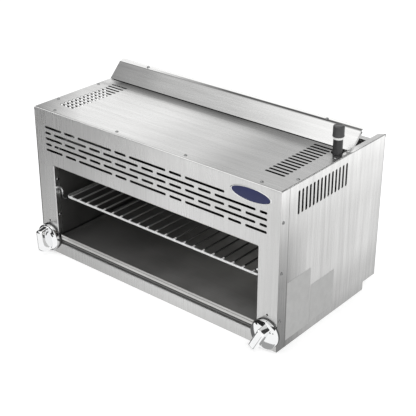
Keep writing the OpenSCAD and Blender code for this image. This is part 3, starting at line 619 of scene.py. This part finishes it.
NODE_FINISH = {
    "front_panel": "fascia", "top_panel": "top", "side_panel_left": "side",
    "side_panel_right": "side", "flue_deflector": "deflector", "back_panel": "plain",
    "base_panel": "plain", "heat_shield": "inner", "flue_baffle": "inner",
    "burner_deck": "lining", "liner_left": "lining", "liner_right": "lining",
    "liner_back": "lining", "tray_runner_left": "inner", "tray_runner_right": "inner",
    "tray_ledge": "ledge", "crumb_tray": "tray", "manifold": "iron", "elbow_front": "iron",
    "feed_pipe": "iron", "elbow_rear": "iron", "inlet_pipe": "iron",
    "data_plates": "foil", "panel_screws": "screw", "liner_screws": "screw",
}
for part, kind in {"burner_body": "burner_steel", "burner_frame": "burner_steel",
                   "mixer_tube": "burner_steel", "burner_tiles": "ceramic",
                   "burner_screen": "glow_rod", "orifice": "brass", "valve": "brass",
                   "valve_stem": "brass", "pilot_valve": "mark", "supply_tube": "tube",
                   "pilot_feed": "tube", "pilot_burner": "tube", "rack_guide": "guide_wire",
                   "knob": "chrome", "bezel": "painted_shade_chrome"}.items():
    for side in SIDES:
        NODE_FINISH[f"{part}_{side}"] = kind
NODE_FINISH.update({"wire_rack": "rack_wire", "seal_ring": "tape", "thread_cap": "cap",
                    "badge_plate": "enamel"})

for node, kind in NODE_FINISH.items():
    nodes[node].data.materials.clear()
    nodes[node].data.materials.append(FINISHES[kind])

# ---- ways to make a piece ----------------------------------------------------

WELD_DISTANCE = 0.002 * MM
WIRE_SIDES = 16
BEND_STEPS = 10


def finished(bm, name, finish, slot, body, *replaced, smooth=40):
    """Closes the mesh work: welds, faces out, shades smooth under an angle and rides on its body."""
    bmesh.ops.remove_doubles(bm, verts=bm.verts, dist=WELD_DISTANCE)
    bmesh.ops.recalc_face_normals(bm, faces=bm.faces)
    piece = linked(bm, name)
    piece.data.materials.append(FINISHES[finish])
    piece.data.shade_smooth()
    piece.data.set_sharp_from_angle(angle=math.radians(smooth))
    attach(piece, body)
    if replaced:
        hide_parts(*replaced)


def turn(bm, profile, steps=96):
    """Spins a profile of (radius, height) points about Z. Ends that lie on the axis are closed."""
    points = [bm.verts.new((radius, 0, height)) for radius, height in profile]
    edges = [bm.edges.new(pair) for pair in zip(points, points[1:])]
    bmesh.ops.spin(bm, geom=points + edges, axis=(0, 0, 1), cent=(0, 0, 0),
                   angle=math.tau, steps=steps, use_merge=True)
    bmesh.ops.remove_doubles(bm, verts=bm.verts, dist=WELD_DISTANCE)


def arc(centre, radius, start, end, count):
    """Points of a profile along a round, in degrees."""
    angles = [math.radians(start + (end - start) * i / count) for i in range(count + 1)]
    return [(centre[0] + radius * math.cos(a), centre[1] + radius * math.sin(a)) for a in angles]


def along_axis(start, end):
    """The move that takes the Z axis at the origin to a line from start towards end."""
    start, end = Vector(start), Vector(end)
    return Matrix.Translation(start) @ (end - start).to_track_quat("Z", "Y").to_matrix().to_4x4()


def drawn_out(bm, ring):
    """Extrudes a ring of edges on the spot, and gives the new ring and its vertices."""
    grown = bmesh.ops.extrude_edge_only(bm, edges=ring)["geom"]
    verts = [g for g in grown if isinstance(g, bmesh.types.BMVert)]
    ring = [g for g in grown if isinstance(g, bmesh.types.BMEdge) and all(v in verts for v in g.verts)]
    return ring, verts


def rod(bm, start, end, radius, sides=WIRE_SIDES, round_end=0.0):
    """A straight wire, its ends rounded a little where round_end says so."""
    length = (Vector(end) - Vector(start)).length
    place = along_axis(start, end) @ Matrix.Translation((0, 0, length / 2))
    made = bmesh.ops.create_cone(bm, cap_ends=True, segments=sides, radius1=radius, radius2=radius,
                                 depth=length, matrix=place)["verts"]
    if round_end:
        edges = {edge for vert in made for edge in vert.link_edges}
        rims = [edge for edge in edges if sum(len(face.verts) > 4 for face in edge.link_faces) == 1]
        bmesh.ops.bevel(bm, geom=rims, offset=round_end, segments=2, profile=0.5, affect="EDGES", material=-1)


def wire(bm, points, bend, radius):
    """A wire through points, bent round each inner one."""
    points = [Vector(point) for point in points]
    made = bmesh.ops.create_circle(bm, segments=WIRE_SIDES, radius=radius, cap_ends=True,
                                   matrix=along_axis(points[0], points[1]))["verts"]
    ring = list({edge for vert in made for edge in vert.link_edges})
    at = points[0]
    for before, corner, after in zip(points, points[1:], points[2:]):
        into = (corner - before).normalized()
        out = (after - corner).normalized()
        angle = into.angle(out)
        cut = bend * math.tan(angle / 2)
        start = corner - into * cut
        ring, verts = drawn_out(bm, ring)
        bmesh.ops.translate(bm, vec=start - at, verts=verts)
        axis = into.cross(out).normalized()
        spun = bmesh.ops.spin(bm, geom=ring + verts, cent=start + axis.cross(into) * bend, axis=axis,
                              angle=angle, steps=BEND_STEPS)["geom_last"]
        ring = [g for g in spun if isinstance(g, bmesh.types.BMEdge)]
        at = corner + out * cut
    ring, verts = drawn_out(bm, ring)
    bmesh.ops.translate(bm, vec=points[-1] - at, verts=verts)
    bmesh.ops.contextual_create(bm, geom=ring)


def shifted(bm, matrix):
    bmesh.ops.transform(bm, matrix=matrix, verts=bm.verts)


# ---- knobs and bezels ---------------------------------------------------------

KNOB_PLACE = {s: (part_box(f"bezel_{s}")[0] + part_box(f"bezel_{s}")[1]) / 2 for s in SIDES}
KNOB_TURN = {"left": math.radians(-5), "right": math.radians(28)}
SKIRT_R = 43 * MM
SKIRT_BACK = 5 * MM
SKIRT_FRONT = 15 * MM
SKIRT_EDGE = 0.6 * MM
DOME_TOP = 23 * MM
DOME_R = (SKIRT_R ** 2 + (DOME_TOP - SKIRT_FRONT) ** 2) / (2 * (DOME_TOP - SKIRT_FRONT))
DOME_STEPS = 14
CUP_R = 40.5 * MM
CUP_TOP = 11 * MM
CUP_EDGE = 0.4 * MM
HUB_R = 8 * MM
RIM = 0.9 * MM
# length, width, corner and height of the grip's sections, from its foot in the dome to its flat nose
GRIP = [(80, 30, 8, 15), (77, 26, 5.5, 18.5), (75.5, 24.4, 4.5, 22), (74.5, 24, 4, 26),
        (71, 24, 4, 36), (68.8, 23.8, 4, 42.5), (68, 23.4, 4, 44.8), (66.4, 22.2, 3.8, 47.2),
        (64, 20, 3.4, 49.2), (61, 17, 2.8, 50.5), (57.5, 13.5, 2.2, 51), (55.5, 11.5, 1.8, 51)]
GRIP_POINTS = 48
BEZEL_R = 43.9 * MM
BEZEL_HOLE_R = 9.5 * MM
BEZEL_BACK = 0.2 * MM
BEZEL_FACE = 3.3 * MM
BEZEL_ROLL_R = 1.9 * MM
BEZEL_ROLL_Z = 2 * MM
BEZEL_EDGE = 0.5 * MM
# place clockwise from upright in degrees, radius, slope in degrees, length and width of each mark
MARKS = {"left": [(52, 30.5, 52, 14, 5.5)], "right": [(55, 31, 0, 2.6, 2.6), (61, 37.5, 0, 3.2, 2.6)]}
MARK_THICKNESS = 1.2 * MM
MARK_EDGE = 0.4 * MM


def out_of_front(place, turned):
    """The move that stands a piece made along +Z out of the front, turned clockwise as seen from there."""
    face = Matrix.Rotation(math.pi / 2, 4, "X")
    return Matrix.Translation((place.x, FRONT_Y, place.z)) @ Matrix.Rotation(turned, 4, "Y") @ face


def resized(value, half, corner, new_half, new_corner):
    """A coordinate on a rounded oblong, carried to the same place on another one."""
    if abs(value) < 0.01 * MM:
        return 0
    share = (abs(value) - half + corner) / corner
    return math.copysign(new_half - new_corner + share * new_corner, value)


def grip(bm):
    """The bar grip: a rounded oblong outline, drawn out from section to section."""
    half_l = half_w = corner = GRIP[0][2] * MM
    verts = bmesh.ops.create_circle(bm, segments=GRIP_POINTS, radius=corner, cap_ends=True)["verts"]
    ring = list({edge for vert in verts for edge in vert.link_edges})
    for i, section in enumerate(GRIP):
        length, width, new_corner, height = (size * MM for size in section)
        if i:
            ring, verts = drawn_out(bm, ring)
        for vert in verts:
            vert.co.x = resized(vert.co.x, half_w, corner, width / 2, new_corner)
            vert.co.y = resized(vert.co.y, half_l, corner, length / 2, new_corner)
            vert.co.z = height
        half_l, half_w, corner = length / 2, width / 2, new_corner
    bmesh.ops.contextual_create(bm, geom=ring)


def dome_height(angle):
    """Height of the dome at an angle from its middle, about the centre of its round."""
    return DOME_TOP - DOME_R * (1 - math.cos(angle))


def make_knob(side):
    """A hollow skirt under a shallow dome, with the bar grip on it."""
    bm = bmesh.new()
    cup = [(0, SKIRT_BACK), (HUB_R, SKIRT_BACK), (HUB_R, CUP_TOP), (CUP_R, CUP_TOP),
           (CUP_R, SKIRT_BACK + CUP_EDGE), (CUP_R + CUP_EDGE, SKIRT_BACK)]
    skirt = [(SKIRT_R - SKIRT_EDGE, SKIRT_BACK), (SKIRT_R, SKIRT_BACK + SKIRT_EDGE),
             (SKIRT_R, SKIRT_FRONT - RIM), (SKIRT_R - 0.3 * RIM, SKIRT_FRONT - 0.1 * RIM)]
    edge = math.asin((SKIRT_R - RIM) / DOME_R)
    angles = [edge * i / DOME_STEPS for i in range(DOME_STEPS, -1, -1)]
    turn(bm, cup + skirt + [(DOME_R * math.sin(angle), dome_height(angle)) for angle in angles])
    grip(bm)
    shifted(bm, out_of_front(KNOB_PLACE[side], KNOB_TURN[side]))
    finished(bm, f"bar_knob_{side}", "chrome", "knob_chrome", f"{side}_control", f"knob_{side}", smooth=35)


def make_bezel(side):
    """A flat ring with a rolled rim, behind the knob."""
    bm = bmesh.new()
    turn(bm, [(BEZEL_HOLE_R, BEZEL_BACK), (BEZEL_R, BEZEL_BACK), (BEZEL_R, BEZEL_ROLL_Z)]
         + arc((BEZEL_R - BEZEL_ROLL_R, BEZEL_ROLL_Z), BEZEL_ROLL_R, 0, 150, 8)
         + [(BEZEL_R - 4.6 * MM, 2.6 * MM), (BEZEL_R - 6 * MM, BEZEL_FACE),
            (BEZEL_HOLE_R + BEZEL_EDGE, BEZEL_FACE), (BEZEL_HOLE_R, BEZEL_FACE - BEZEL_EDGE),
            (BEZEL_HOLE_R, BEZEL_BACK)])
    shifted(bm, out_of_front(KNOB_PLACE[side], 0))
    finished(bm, f"knob_bezel_{side}", "painted_shade_chrome", "bezel_chrome", "cabinet", f"bezel_{side}")


def make_marks(side):
    """Small dark index marks on the dome, to the right of the grip's upper end."""
    bm = bmesh.new()
    for clockwise, radius, slope, length, width in MARKS[side]:
        drop = math.asin(radius * MM / DOME_R)
        made = bmesh.ops.create_cube(bm, size=1)["verts"]
        bmesh.ops.scale(bm, vec=(length * MM, width * MM, MARK_THICKNESS), verts=made)
        place = (Matrix.Rotation(math.radians(-clockwise), 4, "Z")
                 @ Matrix.Translation((0, radius * MM, dome_height(drop)))
                 @ Matrix.Rotation(-drop, 4, "X") @ Matrix.Rotation(math.radians(clockwise - slope), 4, "Z"))
        bmesh.ops.transform(bm, matrix=place, verts=made)
    bmesh.ops.bevel(bm, geom=bm.edges[:], offset=MARK_EDGE, segments=2, profile=0.5,
                    affect="EDGES", material=-1)
    shifted(bm, out_of_front(KNOB_PLACE[side], 0))
    finished(bm, f"index_marks_{side}", "mark", "knob_chrome", f"{side}_control")


for side in SIDES:
    make_knob(side)
    make_bezel(side)
    make_marks(side)

# ---- rack and guides ----------------------------------------------------------

FRAME_R = 3.5 * MM
FRAME_BEND = 14 * MM
BAR_R = 2.5 * MM
BAR_COUNT = 21
BAR_PITCH = 35.1 * MM
BAR_SIDES = 14
BAR_ROUND = 0.8 * MM
BAR_TIP = 5 * MM
WELD_R = 3.1 * MM
WELD_SHAPE = (1.0, 1.1, 0.62)
GUIDE_R = 3 * MM
GUIDE_POST_X = 384.5 * MM
GUIDE_CURL = 22 * MM
GUIDE_REAR_BEND = 10 * MM
GUIDE_LAP = 20 * MM
# what a bend leaves straight where it takes up the whole length between two corners
BEND_MARGIN = 0.01 * MM


def make_rack():
    """The frame with its cross wire, and the bars welded on top of them."""
    low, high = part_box("wire_rack")
    frame_z = low.z + FRAME_R
    bar_z = high.z - BAR_R
    half = high.x - FRAME_R
    front, rear = low.y + BAR_TIP, high.y - BAR_TIP
    middle = (front + rear) / 2
    bm = bmesh.new()
    loop = [(0, front, frame_z), (half, front, frame_z), (half, rear, frame_z), (-half, rear, frame_z),
            (-half, front, frame_z), (0, front, frame_z)]
    wire(bm, loop, FRAME_BEND, FRAME_R)
    rod(bm, (-half, middle, frame_z), (half, middle, frame_z), FRAME_R)
    for i in range(BAR_COUNT):
        x = (i - (BAR_COUNT - 1) / 2) * BAR_PITCH
        rod(bm, (x, low.y, bar_z), (x, high.y, bar_z), BAR_R, BAR_SIDES, BAR_ROUND)
        for y in (front, middle, rear):
            weld = bmesh.ops.create_uvsphere(bm, u_segments=10, v_segments=6, radius=WELD_R)["verts"]
            bmesh.ops.scale(bm, vec=WELD_SHAPE, verts=weld)
            bmesh.ops.translate(bm, vec=(x, y, frame_z + FRAME_R - 0.5 * MM), verts=weld)
    finished(bm, "rack_wires", "rack_wire", "rack_wire", "rack", "wire_rack")


def make_guide(side):
    """The bent wire that carries one edge of the rack: its curl, its step inwards and its run to the rear."""
    low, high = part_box(f"rack_guide_{side}")
    outer = max(abs(low.x), abs(high.x))
    run_x = min(abs(low.x), abs(high.x)) + GUIDE_R
    run_z = low.z + GUIDE_R
    top_z = high.z - GUIDE_R
    rear = high.y - GUIDE_R
    upright = low.y + GUIDE_CURL
    step = (GUIDE_POST_X - run_x) / 2
    bm = bmesh.new()
    wire(bm, [(GUIDE_POST_X, low.y, top_z), (GUIDE_POST_X, upright, top_z), (GUIDE_POST_X, upright, run_z)],
         GUIDE_CURL - BEND_MARGIN, GUIDE_R)
    wire(bm, [(GUIDE_POST_X, upright, run_z + GUIDE_LAP), (GUIDE_POST_X, upright, run_z),
              (run_x, upright, run_z), (run_x, upright + 1.5 * GUIDE_LAP, run_z)],
         step - BEND_MARGIN, GUIDE_R)
    wire(bm, [(run_x, upright + GUIDE_LAP, run_z), (run_x, rear, run_z), (outer, rear, run_z)],
         GUIDE_REAR_BEND, GUIDE_R)
    if side == "left":
        bmesh.ops.scale(bm, vec=(-1, 1, 1), verts=bm.verts)
    finished(bm, f"guide_wire_{side}", "guide_wire", "rack_wire", "cabinet", f"rack_guide_{side}")


make_rack()
for side in SIDES:
    make_guide(side)

# ---- badge ----------------------------------------------------------------------

# radii in the badge's profiles are shares of its half length and half height
FIELD_R = 0.93
RIM_INNER_R = 0.925
FIELD_BACK = 0.2 * MM
RIM_BACK = 0.1 * MM
BADGE_STEPS = 128


def make_badge():
    """A blank oval badge: a raised bright rim round a domed enamel field."""
    low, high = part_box("badge_plate")
    centre, half = (low + high) / 2, (high - low) / 2
    stand = FRONT_Y - low.y
    field = [(FIELD_R * s, stand - (0.5 + 0.7 * s ** 2) * MM) for s in (0, 0.25, 0.5, 0.75, 0.95, 1)]
    field += [(FIELD_R, FIELD_BACK), (0, FIELD_BACK)]
    rim = [(RIM_INNER_R, RIM_BACK), (1, RIM_BACK), (1, stand - 0.7 * MM), (0.985, stand - 0.1 * MM),
           (0.965, stand), (0.945, stand - 0.1 * MM), (RIM_INNER_R, stand - 0.8 * MM),
           (RIM_INNER_R, RIM_BACK)]
    for name, profile, finish, replaced in (("badge_field", field, "enamel", ("badge_plate",)),
                                            ("badge_rim", rim, "rim", ())):
        bm = bmesh.new()
        turn(bm, profile, BADGE_STEPS)
        bmesh.ops.scale(bm, vec=(half.x, half.z, 1), verts=bm.verts)
        shifted(bm, out_of_front(centre, 0))
        finished(bm, name, finish, "badge", "cabinet", *replaced)


make_badge()

# ---- inlet pipe's seal and cap -----------------------------------------------------

TAPE_INNER_R = 13.38 * MM
TAPE_WRAPS = 3
CAP_INNER_R = 13.42 * MM
CAP_EDGE = 0.6 * MM
CAP_SHOULDER = 4.2 * MM


def make_seal():
    """Thread tape: three overlapping wraps with soft edges."""
    low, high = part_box("seal_ring")
    centre = (low + high) / 2
    outer = (high.x - low.x) / 2
    step = (high.z - low.z) / TAPE_WRAPS
    profile = [(TAPE_INNER_R, low.z)]
    for i in range(TAPE_WRAPS):
        base = low.z + i * step
        profile += [(outer - 0.45 * MM, base + 0.05 * step), (outer - 0.1 * MM, base + 0.25 * step),
                    (outer, base + 0.55 * step), (outer - 0.15 * MM, base + 0.9 * step)]
    bm = bmesh.new()
    turn(bm, profile + [(TAPE_INNER_R, high.z), (TAPE_INNER_R, low.z)])
    shifted(bm, Matrix.Translation((centre.x, centre.y, 0)))
    finished(bm, "thread_tape", "tape", "thread_tape", "cabinet", "seal_ring", smooth=60)


def make_cap():
    """Moulded cap over the thread: a lower bead, a rounded shoulder and a dished top."""
    low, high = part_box("thread_cap")
    centre = (low + high) / 2
    outer = (high.x - low.x) / 2
    wall = outer - CAP_EDGE
    bm = bmesh.new()
    turn(bm, [(CAP_INNER_R, low.z), (outer - 0.5 * MM, low.z), (outer, low.z + CAP_EDGE),
              (outer, low.z + 3 * MM), (wall, low.z + 3.8 * MM), (wall, high.z - CAP_SHOULDER)]
         + arc((outer - CAP_SHOULDER, high.z - CAP_SHOULDER), CAP_SHOULDER - CAP_EDGE, 0, 70, 5)
         + [(outer - 4.6 * MM, high.z - 0.3 * MM), (outer - 5.6 * MM, high.z),
            (outer - 6.4 * MM, high.z - CAP_EDGE), (0, high.z - CAP_EDGE)])
    shifted(bm, Matrix.Translation((centre.x, centre.y, 0)))
    finished(bm, "moulded_cap", "cap", "cap_plastic", "cabinet", "thread_cap")


make_seal()
make_cap()
